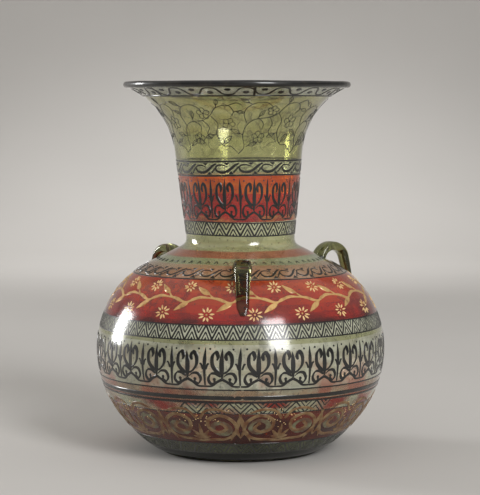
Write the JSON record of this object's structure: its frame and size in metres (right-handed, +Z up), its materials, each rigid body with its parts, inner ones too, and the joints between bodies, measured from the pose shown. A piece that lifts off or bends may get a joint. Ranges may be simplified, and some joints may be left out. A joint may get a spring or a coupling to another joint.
{
  "type": "mosque lamp",
  "caption": "Enamelled glass mosque lamp: wide bulb, flared neck and shoulder loops for hanging, with a lift-out oil cup and wick inside.",
  "frame": {"origin": "on the table under the lamp's axis, at the middle of the foot ring", "axes": "+Z up along the lamp's axis; -Y is the front, where one of the hanging loops is; +X is to the viewer's right"},
  "size_m": [0.244, 0.244, 0.3123],
  "materials": {
    "green_glass": "clear pale green, fire polished",
    "black_enamel": "gloss black enamel",
    "clear_glass": "clear",
    "brass": "satin",
    "cotton": "braided"
  },
  "bodies": {
    "lamp": {"bulb": "green_glass", "foot_ring": "green_glass", "flared_neck": "green_glass", "rim_lip": "black_enamel", "handle_front": "green_glass", "handle_right": "green_glass", "handle_left": "green_glass"},
    "oil_cup": {"oil_cup": "clear_glass"},
    "wick_holder": {"wick_bridge": "brass", "wick_tube": "brass"},
    "wick": {"wick": "cotton"}
  },
  "joints": [
    {"name": "oil_cup_lift", "type": "slide", "parent": "lamp", "child": "oil_cup", "axis": [0, 0, 1], "range_m": [0, 0.33]},
    {"name": "wick_holder_lift", "type": "slide", "parent": "oil_cup", "child": "wick_holder", "axis": [0, 0, 1], "range_m": [0, 0.06]},
    {"name": "wick_slide", "type": "slide", "parent": "wick_holder", "child": "wick", "axis": [0, 0, 1], "range_m": [0, 0.008]}
  ]
}
